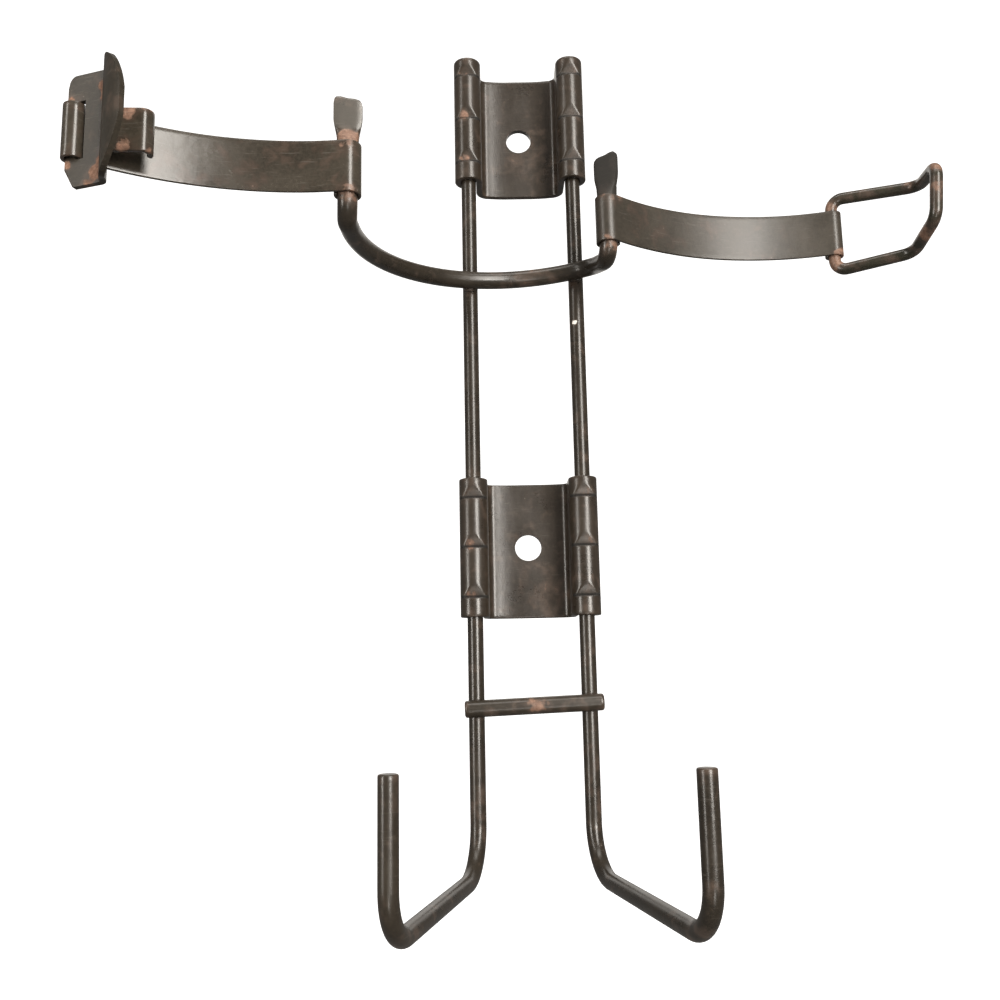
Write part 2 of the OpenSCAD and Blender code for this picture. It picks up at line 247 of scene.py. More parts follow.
def ribbon_loop(mid, t):
    """The closed outline of a bent strip in plan, t thick, with rounded ends."""
    n = len(mid)
    normals = []
    for i in range(n):
        d = (mid[min(i + 1, n - 1)] - mid[max(i - 1, 0)]).normalized()
        normals.append(Vector((-d.y, d.x)))
    half = t / 2
    left = [mid[i] + normals[i] * half for i in range(n)]
    right = [mid[i] - normals[i] * half for i in range(n)]
    end_dir = (mid[-1] - mid[-2]).normalized()
    start_dir = (mid[0] - mid[1]).normalized()
    ease = half * 0.45
    cap_end = [
        mid[-1] + normals[-1] * (half - ease * 0.3) + end_dir * ease * 0.7,
        mid[-1] + normals[-1] * (half - ease) + end_dir * ease,
        mid[-1] - normals[-1] * (half - ease) + end_dir * ease,
        mid[-1] - normals[-1] * (half - ease * 0.3) + end_dir * ease * 0.7,
    ]
    cap_start = [
        mid[0] - normals[0] * (half - ease * 0.3) + start_dir * ease * 0.7,
        mid[0] - normals[0] * (half - ease) + start_dir * ease,
        mid[0] + normals[0] * (half - ease) + start_dir * ease,
        mid[0] + normals[0] * (half - ease * 0.3) + start_dir * ease * 0.7,
    ]
    return left + cap_end + right[::-1] + cap_start


def strip(name, mid, t, heights, ease=0.28, warp=None):
    """A strip bent in plan along mid and extruded through heights, its long edges eased."""
    rings = []
    lo, hi = heights[0], heights[-1]
    levels = [(lo, ease), (lo + ease * 0.35, ease * 0.35), (lo + ease, 0.0)]
    levels += [(z, 0.0) for z in heights[1:-1]]
    levels += [(hi - ease, 0.0), (hi - ease * 0.35, ease * 0.35), (hi, ease)]
    for z, shrink in levels:
        loop = ribbon_loop(mid, t - 2 * shrink)
        rings.append([v3(p.x, p.y, z) for p in loop])
    if warp:
        rings = [[warp(p) for p in r] for r in rings]
    m, n = len(rings), len(rings[0])
    verts = [p for r in rings for p in r]
    faces = []
    for i in range(m - 1):
        for k in range(n):
            l = (k + 1) % n
            faces.append((i * n + k, i * n + l, (i + 1) * n + l, (i + 1) * n + k))
    # the two long edges are closed as a ladder of quads, left side to right side
    c = len(mid)
    for base, flip in ((0, False), ((m - 1) * n, True)):
        left = [base + i for i in range(c)]
        right = [base + c + 4 + (c - 1 - i) for i in range(c)]
        for i in range(c - 1):
            q = (left[i], left[i + 1], right[i + 1], right[i])
            faces.append(q if flip else q[::-1])
        faces.append((left[-1], base + c, base + c + 1, base + c + 2, base + c + 3, right[-1]))
        s = base + 2 * c + 4
        faces.append((right[0], s, s + 1, s + 2, s + 3, left[0]))
    ob = mesh_object(name, verts, faces)
    crisp(ob, 50)
    return ob


# ---------------------------------------------------------------- materials
def new_material(name):
    m = bpy.data.materials.new(name)
    m.use_nodes = True
    nt = m.node_tree
    return m, nt, nt.nodes["Principled BSDF"]


def node(nt, kind, **values):
    """A new node; values go to its sockets of that name, or else to its settings."""
    n = nt.nodes.new(kind)
    for k, v in values.items():
        if k in n.inputs:
            n.inputs[k].default_value = v
        else:
            setattr(n, k, v)
    return n


def ramp(nt, source, stops):
    """A colour ramp over source; stops are (position, colour)."""
    r = nt.nodes.new("ShaderNodeValToRGB")
    nt.links.new(source, r.inputs[0])
    e = r.color_ramp.elements
    while len(e) < len(stops):
        e.new(0.5)
    for el, (pos, col) in zip(e, stops):
        el.position = pos
        el.color = col if len(col) == 4 else (*col, 1.0)
    return r.outputs["Color"]


def grey(v):
    return (v, v, v, 1.0)


def mix(nt, factor, a, b):
    """Blends colour a into b; each may be a value or a socket."""
    m = nt.nodes.new("ShaderNodeMix")
    m.data_type = "RGBA"
    for socket, value in ((m.inputs[0], factor), (m.inputs[6], a), (m.inputs[7], b)):
        if isinstance(value, bpy.types.NodeSocket):
            nt.links.new(value, socket)
        else:
            socket.default_value = value
    return m.outputs[2]


def maths(nt, op, a, b):
    m = nt.nodes.new("ShaderNodeMath")
    m.operation = op
    for i, value in enumerate((a, b)):
        if isinstance(value, bpy.types.NodeSocket):
            nt.links.new(value, m.inputs[i])
        else:
            m.inputs[i].default_value = value
    return m.outputs[0]


RUST_TONES = [(0.28, (0.11, 0.052, 0.032)), (0.50, (0.20, 0.108, 0.070)), (0.74, (0.32, 0.192, 0.132))]
THIN_TONES = [(0.3, (0.026, 0.0190, 0.0135)), (0.7, (0.062, 0.0440, 0.0330))]
RUB_TONE = (0.13, 0.115, 0.10, 1)
DUST_TONE = (0.34, 0.31, 0.27, 1)
# the grime tone darkens dirty, dull places, and is painted shade in the steps under the chisel marks
GRIME_AND_PAINTED_SHADE_TONE = (0.004, 0.003, 0.002, 1)
# the chip tone pales a real paint chip on the right rod, and is painted light on the left paddle
CHIP_AND_PAINTED_LIGHT_TONE = (0.72, 0.69, 0.64, 1)
RUB_SCALE = (150.0, 150.0, 1500.0)


def enamel(name, dark, light, rough, scratch, rust_level=1.0, speck=0.3, ior=1.52):
    """Baked brown-black enamel on steel. Three attributes of the mesh steer it: 'wear' says where the
    enamel is thin or rubbed through to rust, 'chip' where it is pale from a real chip or from painted
    light, 'grime' where dirt sits or where shade is painted."""
    m, nt, bsdf = new_material(name)
    link = nt.links.new
    pos = node(nt, "ShaderNodeTexCoord").outputs["Object"]
    cloud = node(nt, "ShaderNodeTexNoise", Scale=55.0, Detail=6.0, Roughness=0.6)
    fine = node(nt, "ShaderNodeTexNoise", Scale=900.0, Detail=4.0, Roughness=0.65)
    grit = node(nt, "ShaderNodeTexNoise", Scale=2200.0, Detail=1.0)
    peel = node(nt, "ShaderNodeTexNoise", Scale=320.0, Detail=2.0, Roughness=0.45)
    blotch = node(nt, "ShaderNodeTexNoise", Scale=190.0, Detail=4.0, Roughness=0.55, Distortion=0.3)
    cells = node(nt, "ShaderNodeTexVoronoi", Scale=230.0)
    for n in (cloud, fine, grit, peel, blotch, cells):
        link(pos, n.inputs["Vector"])
    shade = ramp(nt, cloud.outputs["Fac"], [(0.32, grey(0)), (0.70, grey(1))])
    base = mix(nt, shade, (*dark, 1), (*light, 1))
    grain = ramp(nt, fine.outputs["Fac"], [(0.35, grey(0)), (0.75, grey(0.35))])
    base = mix(nt, grain, base, (*[c * 1.7 for c in light], 1))
    # the enamel thins, then gives way to rust, with a ragged edge
    wear = node(nt, "ShaderNodeAttribute", attribute_name="wear").outputs["Fac"]
    ragged = maths(nt, "MULTIPLY", maths(nt, "SUBTRACT", blotch.outputs["Fac"], 0.5), 1.1)
    edge = maths(nt, "ADD", wear, ragged)
    thin = ramp(nt, edge, [(0.30, grey(0)), (0.52, grey(1))])
    bare = ramp(nt, edge, [(0.62, grey(0)), (0.80, grey(rust_level))])
    colour = mix(nt, thin, base, ramp(nt, blotch.outputs["Fac"], THIN_TONES))
    colour = mix(nt, bare, colour, ramp(nt, fine.outputs["Fac"], RUST_TONES))
    # fine rubbing marks along and across the piece
    wave = node(nt, "ShaderNodeTexNoise", Scale=1.0, Detail=3.0, Roughness=0.6)
    squash = node(nt, "ShaderNodeMapping")
    squash.inputs["Scale"].default_value = RUB_SCALE
    link(pos, squash.inputs["Vector"])
    link(squash.outputs["Vector"], wave.inputs["Vector"])
    rub = ramp(nt, wave.outputs["Fac"], [(0.60, grey(0)), (0.74, grey(scratch))])
    colour = mix(nt, rub, colour, RUB_TONE)
    # little chips and dust specks
    dust = ramp(nt, cells.outputs["Distance"], [(0.035, grey(speck)), (0.075, grey(0))])
    cluster = ramp(nt, blotch.outputs["Fac"], [(0.56, grey(0)), (0.64, grey(1))])
    colour = mix(nt, mix(nt, cluster, grey(0), dust), colour, DUST_TONE)
    # darkens and dulls: dirt, and painted shade in the steps under the plates' chisel marks
    grime_and_painted_shade = node(nt, "ShaderNodeAttribute", attribute_name="grime_and_painted_shade").outputs["Fac"]
    colour = mix(nt, maths(nt, "MULTIPLY", grime_and_painted_shade, 0.92), colour, GRIME_AND_PAINTED_SHADE_TONE)
    # pales: a real paint chip, and painted light on the left paddle
    chip_and_painted_light = node(nt, "ShaderNodeAttribute", attribute_name="chip_and_painted_light").outputs["Fac"]
    colour = mix(nt, ramp(nt, chip_and_painted_light, [(0.45, grey(0)), (0.6, grey(1))]), colour, CHIP_AND_PAINTED_LIGHT_TONE)
    link(colour, bsdf.inputs["Base Color"])
    bsdf.inputs["IOR"].default_value = ior
    rr = ramp(nt, cloud.outputs["Fac"], [(0.30, grey(rough[0])), (0.72, grey(rough[1]))])
    matt = ramp(nt, fine.outputs["Fac"], [(0.4, grey(0)), (0.7, grey(0.05))])
    rr = mix(nt, matt, rr, grey(0.62))
    rr = mix(nt, maths(nt, "MULTIPLY", bare, 0.8), rr, grey(0.72))
    rr = mix(nt, grime_and_painted_shade, rr, grey(0.9))
    link(rr, bsdf.inputs["Roughness"])
    height = maths(nt, "ADD", peel.outputs["Fac"], maths(nt, "MULTIPLY", grit.outputs["Fac"], 0.12))
    height = maths(nt, "SUBTRACT", height, maths(nt, "MULTIPLY", bare, 0.4))
    bump = node(nt, "ShaderNodeBump", Strength=0.22, Distance=0.00022)
    link(height, bump.inputs["Height"])
    link(bump.outputs["Normal"], bsdf.inputs["Normal"])
    return m


ENAMEL = enamel(
    "rod_enamel",
    dark=(0.0110, 0.0084, 0.0057),
    light=(0.025, 0.0192, 0.0130),
    rough=(0.24, 0.33),
    scratch=0.25,
    rust_level=0.78,
)
PLATE_ENAMEL = enamel(
    "plate_enamel",
    dark=(0.0165, 0.0122, 0.0085),
    light=(0.030, 0.0225, 0.0160),
    rough=(0.25, 0.34),
    scratch=0.2,
    speck=0.45,
)
STRAP_ENAMEL = enamel(
    "strap_enamel",
    dark=(0.021, 0.0172, 0.0125),
    light=(0.046, 0.0380, 0.0282),
    rough=(0.19, 0.29),
    scratch=0.35,
)
LEVER_ENAMEL = enamel(
    "lever_enamel",
    dark=(0.016, 0.0130, 0.0092),
    light=(0.032, 0.0262, 0.0190),
    rough=(0.34, 0.44),
    scratch=0.3,
    ior=1.34,
)
BAIL_ENAMEL = enamel(
    "bail_enamel",
    dark=(0.011, 0.0100, 0.0062),
    light=(0.025, 0.0222, 0.0138),
    rough=(0.22, 0.32),
    scratch=0.3,
    rust_level=0.7,
)


def paint_wear(ob, spots, floor=0.0, name="wear"):
    """Writes the attribute 'wear', 'chip' or 'grime' (the last two also carry painted light and painted
    shade): spots are (centre, radius, strength).
    """
    at = ob.data.attributes.new(name, "FLOAT", "POINT")
    for i, v in enumerate(ob.data.vertices):
        p = v.co / MM
        w = floor
        for c, r, s in spots:
            d = (p - c).length
            if d < r:
                fade = smooth(d, r * 0.35, r)
                w = max(w, s * (1 - fade) + floor * fade)
        at.data[i].value = w


def finish_piece(ob, body, material, replaced, spots, floor):
    """Gives a piece its material and wear, ties it to its moving body and hides the CAD node it replaces.
    """
    ob.data.materials.clear()
    ob.data.materials.append(material)
    paint_wear(ob, spots, floor)
    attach(ob, body)
    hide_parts(replaced)


# ---------------------------------------------------------------- rods
def make_rod(side, name):
    heel = v3(side * ROD_X, ROD_Y, ARM_Z)
    toe = v3(side * HOOK_X, ROD_Y - HOOK_REACH, ARM_Z)
    tip = v3(toe.x, toe.y, ARM_Z + HOOK_RISE)
    pts = wire_path([v3(heel.x, heel.y, ROD_TOP), heel, toe, tip], [0, HEEL_R, TOE_R, 0], 1.0)
    ob = tube(name, pts, ROD_D / 2, caps=0.6)
    spots = [
        (v3(side * ROD_X, ROD_Y - 3, 19), 9, 0.42),
        (v3(side * ROD_X, ROD_Y - 3, BAR_Z), 7, 0.42),
        (tip, 7, 0.5),
        (toe + v3(0, 12, 0), 16, 0.40),
        (v3(side * ROD_X, ROD_Y, ARM_Z + 30), 26, 0.36),
    ]
    # one bright chip, on the right rod only
    chips = [(v3(ROD_X - 1.3, ROD_Y - 2.9, 0.6), 1.8, 1.0)] if side > 0 else []
    paint_wear(ob, chips, name="chip_and_painted_light")
    finish_piece(ob, "frame", ENAMEL, name.replace("_wire", "_rod"), spots, 0.24)


make_rod(-1, "left_wire")
make_rod(1, "right_wire")


# ---------------------------------------------------------------- mounting plates
def plate_profile():
    """Middle line of the rolled plate in plan, from one curl's end to the other's."""
    wall = ROD_X - CURL_OUT
    bend_r = WEB_BEND_IN + PLATE_T / 2
    mid_wall = wall + PLATE_T / 2
    half = wall - WEB_BEND_IN
    curl_mid = CURL_IN + PLATE_T / 2
    right = [Vector((x, -PLATE_T / 2)) for x in [half * k / 8 for k in range(9)]]
    right += arc_points(Vector((half, -PLATE_T / 2 - bend_r)), bend_r, 90, -90, 9)[1:]
    y0, y1 = -PLATE_T / 2 - bend_r, ROD_Y
    right += [Vector((mid_wall, y0 + (y1 - y0) * k / 4)) for k in range(1, 5)]
    right += arc_points(Vector((ROD_X, ROD_Y)), curl_mid, 180, CURL_TO, 5)[1:]
    left = [Vector((-p.x, p.y)) for p in right[:0:-1]]
    return dedupe(left + right)


def crimp_limit(z, mid_z):
    """How deep the chisel marks cut into the front of the rolled edges at this height."""
    depth = 0.0
    for k in (-1, 0, 1):
        h = z - (mid_z + k * CRIMP_PITCH)
        if 0 <= h <= CRIMP_RAMP:
            depth = max(depth, CRIMP_DEPTH * (1 - h / CRIMP_RAMP) ** 1.6)
        elif -CRIMP_STEP < h < 0:
            depth = max(depth, CRIMP_DEPTH * (1 + h / CRIMP_STEP))
    return depth


def make_plate(name, up, replaced):
    """One rolled plate; up is 1 for the upper and -1 for the lower."""
    mid_z = up * (HOLE_Z + PLATE_SHIFT)
    lo, hi = mid_z - PLATE_LEN / 2, mid_z + PLATE_LEN / 2
    zs = {lo, hi}
    z = lo + 1.5
    while z < hi - 1:
        zs.add(round(z, 3))
        z += 1.5
    for k in (-1, 0, 1):
        c = mid_z + k * CRIMP_PITCH
        for h in CRIMP_ROWS:
            if lo + 0.6 < c + h < hi - 0.6:
                zs.add(round(c + h, 3))
    front = ROD_Y - CURL_OUT

    def warp(p):
        q = p.copy()
        x = abs(p.x)
        d = crimp_limit(p.z, mid_z)
        if d > 0 and p.y < ROD_Y - 1.5 and x > ROD_X - CURL_OUT - 0.5:
            # the chisel flattens the front; the metal bulges to both sides and up round the mark
            across = (x - ROD_X) / CURL_OUT
            limit = front + d * (1 - 0.25 * across * across)
            if p.y < limit:
                q.y = limit - 0.12 * (limit - p.y)
            bulge = math.exp(-((p.y - limit) / 1.3) ** 2) * d / CRIMP_DEPTH
            q.x = math.copysign(x + across * 0.55 * bulge, p.x)
        dent = noise.noise(Vector((p.x * 0.09, p.y * 0.09, p.z * 0.045))) * 0.10
        # the web is slightly dished, so it curves into the side walls
        if p.y > -9.0 and x < ROD_X - CURL_OUT + PLATE_T + 0.1:
            side = min(1.0, max(0.0, (x - 5.0) / 8.8))
            q.y -= WEB_DISH * side * side * (1 - smooth(-p.y, 2.5, 9.0))
        if p.y > ROD_Y + 2.0 or d == 0:
            q.y += dent * (0.5 if abs(p.y) < PLATE_T + 0.1 else 0.8) - 0.05
        q.y = min(q.y, 0.0)
        return q

    ob = strip(name, plate_profile(), PLATE_T, sorted(zs), ease=0.45, warp=warp)
    cutter = bpy.data.meshes.new("cutter")
    bm = bmesh.new()
    bmesh.ops.create_cone(
        bm, cap_ends=True, segments=64, radius1=HOLE_D / 2 * MM, radius2=HOLE_D / 2 * MM, depth=0.02,
        matrix=Matrix.Translation((0, -0.0013, up * HOLE_Z * MM)) @ Matrix.Rotation(math.pi / 2, 4, "X"),
    )
    bm.to_mesh(cutter)
    bm.free()
    tool = bpy.data.objects.new("cutter", cutter)
    bpy.context.scene.collection.objects.link(tool)
    b = ob.modifiers.new("hole", "BOOLEAN")
    b.operation, b.object, b.solver = "DIFFERENCE", tool, "EXACT"
    apply_modifiers(ob)
    bpy.data.objects.remove(tool)
    crisp(ob, 40)
    spots = []
    for side in (-1, 1):
        for k in (-1, 0, 1):
            place = v3(side * (ROD_X + 1.5), front + 0.8, mid_z + k * CRIMP_PITCH + 1)
            spots.append((place, 4.0, 0.66 if side < 0 else 0.52))
        spots.append((v3(side * ROD_X, front + 2, lo), 6, 0.42))
        spots.append((v3(side * ROD_X, front + 2, hi), 6, 0.40))
    spots.append((v3(8, -PLATE_T, lo + 12), 16, 0.40))
    spots.append((v3(-1, -PLATE_T, up * HOLE_Z - 7), 8, 0.40))
    # painted shade: the step under each chisel mark is darkened and dulled where its shadow falls
    dark = ob.data.attributes.new("grime_and_painted_shade", "FLOAT", "POINT")
    for i, v in enumerate(ob.data.vertices):
        p = v.co / MM
        if p.y < ROD_Y - 2.4:
            near = min(abs(p.z - (mid_z + k * CRIMP_PITCH) - 0.05) for k in (-1, 0, 1))
            dark.data[i].value = 0.95 * (1 - smooth(near, 0.22, 0.95))
    finish_piece(ob, "frame", PLATE_ENAMEL, replaced, spots, 0.25)


make_plate("upper_mounting_plate", 1, "upper_plate")
make_plate("lower_mounting_plate", -1, "lower_plate")


# ---------------------------------------------------------------- crossbar
def make_crossbar():
    t = math.radians(BAR_TILT)
    along = v3(math.cos(t), 0, math.sin(t))
    mid = v3(0.25, BAR_Y, BAR_Z)
    pts = [mid + along * (BAR_LEN * (k / 40 - 0.5)) for k in range(41)]
    ob = tube("cross_wire", pts, BAR_D / 2, caps=0.8)
    spots = [(mid + v3(x, -3, 0.4), 4.2, 0.74) for x in (-1.0, 1.5, 4.0)]
    spots += [(pts[0], 5, 0.55), (pts[-1], 6, 0.60), (mid + v3(8, -3, 0), 9, 0.42)]
    finish_piece(ob, "frame", ENAMEL, "crossbar", spots, 0.30)


make_crossbar()


# ---------------------------------------------------------------- cradle wire
TOUCH = CRADLE_R + WIRE_D / 2 + ROD_D / 2 + TOUCH_GAP
CRADLE_Y = ROD_Y - math.sqrt(TOUCH**2 - ROD_X**2)
ARC_FROM, ARC_TO = 189.0, math.degrees(math.acos(ROD_X / CRADLE_R))
LEAD = 7.0  # straight length after the round part
LEFT_FOOT_Z, RIGHT_FOOT_Z = 15.2, 15.3
LEFT_ELBOW_R, RIGHT_BEND_R, RIGHT_ELBOW_R = 8.0, 12.0, 5.4
LEFT_PADDLE_DIR, RIGHT_PADDLE_DIR = polar(4), polar(-38)


def on_slope(x, y):
    """A point of the cradle's sloping plane."""
    return v3(x, y, CRADLE_Z + CRADLE_SLOPE * x)


def cradle_corners():
    """Corners whose bends make up the round part, then the end of its straight lead."""
    step = (ARC_TO - ARC_FROM) / 3
    reach = CRADLE_R / math.cos(math.radians(step) / 2)
    out = []
    for k in range(3):
        p = polar(ARC_FROM + (k + 0.5) * step, reach)
        out.append(on_slope(p.x, CRADLE_Y + p.y))
    a = math.radians(ARC_TO)
    x, y = ROD_X + LEAD * math.sin(a), CRADLE_Y + CRADLE_R * math.sin(a) - LEAD * math.cos(a)
    return [*out, on_slope(x, y)]


def make_cradle():
    top = PIN_TOP + PADDLE_H
    left, right = LEFT_PIN, RIGHT_PIN
    corners = [
        v3(left.x, left.y, top), v3(left.x, left.y, LEFT_FOOT_Z), *cradle_corners(),
        v3(right.x, right.y, RIGHT_FOOT_Z), v3(right.x, right.y, top),
    ]
    radii = [0, LEFT_ELBOW_R, CRADLE_R, CRADLE_R, CRADLE_R, RIGHT_BEND_R, RIGHT_ELBOW_R, 0]
    pts = wire_path(corners, radii, 0.8)
    # the bends run softly into each other
    for _ in range(8):
        pts = [pts[0], *[(a + b * 2 + c) / 4 for a, b, c in zip(pts, pts[1:], pts[2:])], pts[-1]]

    def flat(p):
        if p.z < PIN_TOP - 1.5:
            return None
        side = LEFT_PADDLE_DIR if p.x < 0 else RIGHT_PADDLE_DIR
        h = p.z - PIN_TOP
        t = smooth(h, -1.5, 4.2)
        spread = smooth(h, 0.0, 9.0)
        half_w = 3.85 + spread * 1.32 - 0.9 * smooth(h, 15.2, 18.0)
        half_t = 3.55 - t * 2.15
        return half_w, half_t, v3(side.x, side.y), 2.0 + 4.0 * t

    ob = tube("cradle_rod", pts, WIRE_D / 2, sides=44, caps=0.9, flat=flat)
    # the tops of the paddles are cut off at a slant
    for v in ob.data.vertices:
        p = v.co / MM
        if p.z > PIN_TOP:
            drop = 0.9 + 0.9 * (p.x - left.x) / 5.2 if p.x < 0 else 0.5 - 0.5 * (p.x - right.x) / 4.1
            v.co.z -= smooth(p.z, PIN_TOP + 8, top) * drop * MM
    spots = [
        (v3(left.x, left.y - 2, PIN_TOP), 6.5, 0.95),
        (v3(left.x, left.y, 21), 5.5, 0.85),
        (v3(right.x, right.y, PIN_TOP), 6.5, 0.62),
        (v3(right.x, right.y, 20.5), 5.5, 0.80),
        (v3(left.x, left.y, top), 10, 0.36),
        (v3(2, CRADLE_Y + 62, 20), 7, 0.52),
        (v3(-10, CRADLE_Y + 64, 19), 5, 0.60),
        (v3(14, CRADLE_Y + 62, 21), 6, 0.42),
    ]
    # the left paddle is painted paler where it faces the lamps, painted light; the right one is dull and
    # dark
    paint_wear(ob, [(v3(left.x, left.y, PIN_TOP + 11), 19, 0.462)], name="chip_and_painted_light")
    paint_wear(ob, [(v3(right.x, right.y, PIN_TOP + 13), 26, 0.75)], name="grime_and_painted_shade")
    finish_piece(ob, "frame", ENAMEL, "cradle_wire", spots, 0.24)


make_cradle()


# ---------------------------------------------------------------- weld beads
def make_beads(name, places, node_name, seed):
    """Small uneven lumps of weld metal; places are (centre, half sizes)."""
    verts, faces = [], []
    for c, size in places:
        bm = bmesh.new()
        bmesh.ops.create_icosphere(bm, subdivisions=4, radius=1.0)
        base = len(verts)
        for v in bm.verts:
            p = Vector((v.co.x * size[0], v.co.y * size[1], v.co.z * size[2]))
            bumpy = 1 + 0.16 * noise.noise(v.co * 1.9 + Vector((seed, c.x, c.z)))
            verts.append(c + p * bumpy)
        faces += [tuple(base + v.index for v in f.verts) for f in bm.faces]
        bm.free()
    ob = mesh_object(name, verts, faces)
    finish_piece(ob, "frame", ENAMEL, node_name, [(c, 4, 0.5) for c, _ in places], 0.34)


def bead_places(height, slope, depth, gap):
    """Above and below a cross wire, where it touches the two rods."""
    out = []
    for side in (-1, 1):
        z = height + slope * side * ROD_X
        for s in (-1, 1):
            out.append((v3(side * ROD_X, ROD_Y - ROD_D / 2 - depth, z + s * gap), BEAD_HALF))
    return out


BEAD_HALF = (2.5, 1.1, 1.15)
bar_places = bead_places(BAR_Z, math.tan(math.radians(BAR_TILT)), 0.7, BAR_D / 2 - 0.9)
make_beads("crossbar_beads", bar_places, "crossbar_welds", 3.0)
cradle_places = bead_places(CRADLE_Z, CRADLE_SLOPE, 0.8, WIRE_D / 2 - 0.9)
make_beads("cradle_beads", cradle_places, "cradle_welds", 7.0)


# ---------------------------------------------------------------- straps
EYE_IN = WIRE_D / 2 + TURN_GAP
EYE_SWEEP = 296  # how far a strap end is rolled round its pin, degrees
PIN_OFF = STRAP_T / 2 + EYE_IN
STRAP_LEVELS = [STRAP_Z - STRAP_W / 2 + STRAP_W * k / 10 for k in range(11)]

LEFT_C = LEFT_PIN + polar(LEFT_DIR, LEFT_R + PIN_OFF)
LEFT_TO = 127.7
KNUCKLE_IN = 2.45
KNUCKLE_MID = KNUCKLE_IN + STRAP_T / 2
KNUCKLE = LEFT_C + polar(LEFT_TO, LEFT_R + 0.3)
JOG_R, JOG_Y = 3.0, 2.7
JOG_X = math.sqrt((JOG_R + KNUCKLE_MID) ** 2 - JOG_Y**2)
JOG_ANGLE = math.degrees(math.atan2(JOG_Y, JOG_X))

RIGHT_C = RIGHT_PIN + polar(RIGHT_DIR, RIGHT_R + PIN_OFF)
RIGHT_FROM = 72.13
BAIL_IN = BAIL_D / 2 + TURN_GAP
BAIL_AT = RIGHT_C + polar(RIGHT_FROM, RIGHT_R + STRAP_T / 2 + BAIL_IN)


def rotated(points, origin, angle):
    """Plan points turned by angle degrees and moved to origin."""
    c, s = math.cos(math.radians(angle)), math.sin(math.radians(angle))
    return [origin + Vector((p.x * c - p.y * s, p.x * s + p.y * c)) for p in points]


def left_strap_line():
    """Middle line in plan: eye, curved band, small jog, knuckle."""
    eye = arc_points(LEFT_PIN, PIN_OFF, LEFT_DIR + EYE_SWEEP, -EYE_SWEEP, 5)
    stop = LEFT_TO - math.degrees(JOG_X / LEFT_R)
    body = arc_points(LEFT_C, LEFT_R, LEFT_DIR - 180, stop - (LEFT_DIR - 180), 0.8)
    local = arc_points(Vector((JOG_X, JOG_Y)), JOG_R, 270, -(90 - JOG_ANGLE), 7)
    local += arc_points(Vector((0, 0)), KNUCKLE_MID, JOG_ANGLE, 318 - JOG_ANGLE, 6)
    return dedupe(eye + body[1:-1] + rotated(local, KNUCKLE, LEFT_TO - 90))


def right_strap_line():
    """Middle line in plan: eye, curved band, eye for the bail."""
    eye = arc_points(RIGHT_PIN, PIN_OFF, RIGHT_DIR - EYE_SWEEP, EYE_SWEEP, 5)
    body = arc_points(RIGHT_C, RIGHT_R, RIGHT_DIR - 180, RIGHT_FROM - (RIGHT_DIR - 180), 0.8)
    end = arc_points(BAIL_AT, BAIL_IN + STRAP_T / 2, RIGHT_FROM + 180, EYE_SWEEP, 6)
    return dedupe(eye + body[1:-1] + end)


def strap_warp(seed):
    """Long edges that waver by a tenth of a millimetre."""
    def warp(p):
        d = noise.noise(Vector((p.x * 0.03 + seed, p.y * 0.03, p.z * 0.05)))
        return v3(p.x, p.y, p.z + 0.10 * d)

    return warp


left_strap = strip("left_band", left_strap_line(), STRAP_T, STRAP_LEVELS, warp=strap_warp(1.0))
finish_piece(
    left_strap, "left_arm", STRAP_ENAMEL, "left_strap",
    [
        (v3(LEFT_PIN.x, LEFT_PIN.y - 4, STRAP_Z + 9.5), 6, 0.62),
        (v3(LEFT_PIN.x, LEFT_PIN.y - 4, STRAP_Z - 9.5), 5, 0.60),
        (v3(-73, -97.5, STRAP_Z + 7), 5, 0.50),
        (v3(-85, -98, STRAP_Z + 6), 7, 0.44),
        (v3(-96, -99.5, STRAP_Z - 4), 9, 0.42),
        (v3(-124, -108, STRAP_Z - 5), 12, 0.38),
        (v3(KNUCKLE.x, KNUCKLE.y, STRAP_Z + 9.5), 5, 0.5),
        (v3(KNUCKLE.x, KNUCKLE.y, STRAP_Z - 9.5), 5, 0.62),
    ],
    0.27,
)
right_strap = strip("right_band", right_strap_line(), STRAP_T, STRAP_LEVELS, warp=strap_warp(5.0))
paint_wear(right_strap, [], 0.2, "grime_and_painted_shade")  # duller all over than the left one
finish_piece(
    right_strap, "right_arm", STRAP_ENAMEL, "right_strap",
    [
        (v3(RIGHT_PIN.x, RIGHT_PIN.y, STRAP_Z + 9.5), 9, 0.62),
        (v3(RIGHT_PIN.x - 2, RIGHT_PIN.y - 3, STRAP_Z - 9.5), 6, 0.66),
        (v3(44, -45, STRAP_Z + 5), 9, 0.46), (v3(55, -40, STRAP_Z - 2), 8, 0.42),
        (v3(BAIL_AT.x, BAIL_AT.y - 3, STRAP_Z + 9.5), 5, 0.5),
        (v3(BAIL_AT.x + 2, BAIL_AT.y - 2, STRAP_Z - 9.5), 6, 0.80),
    ],
    0.25,
)


# ---------------------------------------------------------------- bail
BAIL_RISE = 15.6  # from the middle of the eye to each corner beside it
BAIL_KICK, BAIL_END = Vector((159.0, -47.3)), Vector((157.0, -67.7))


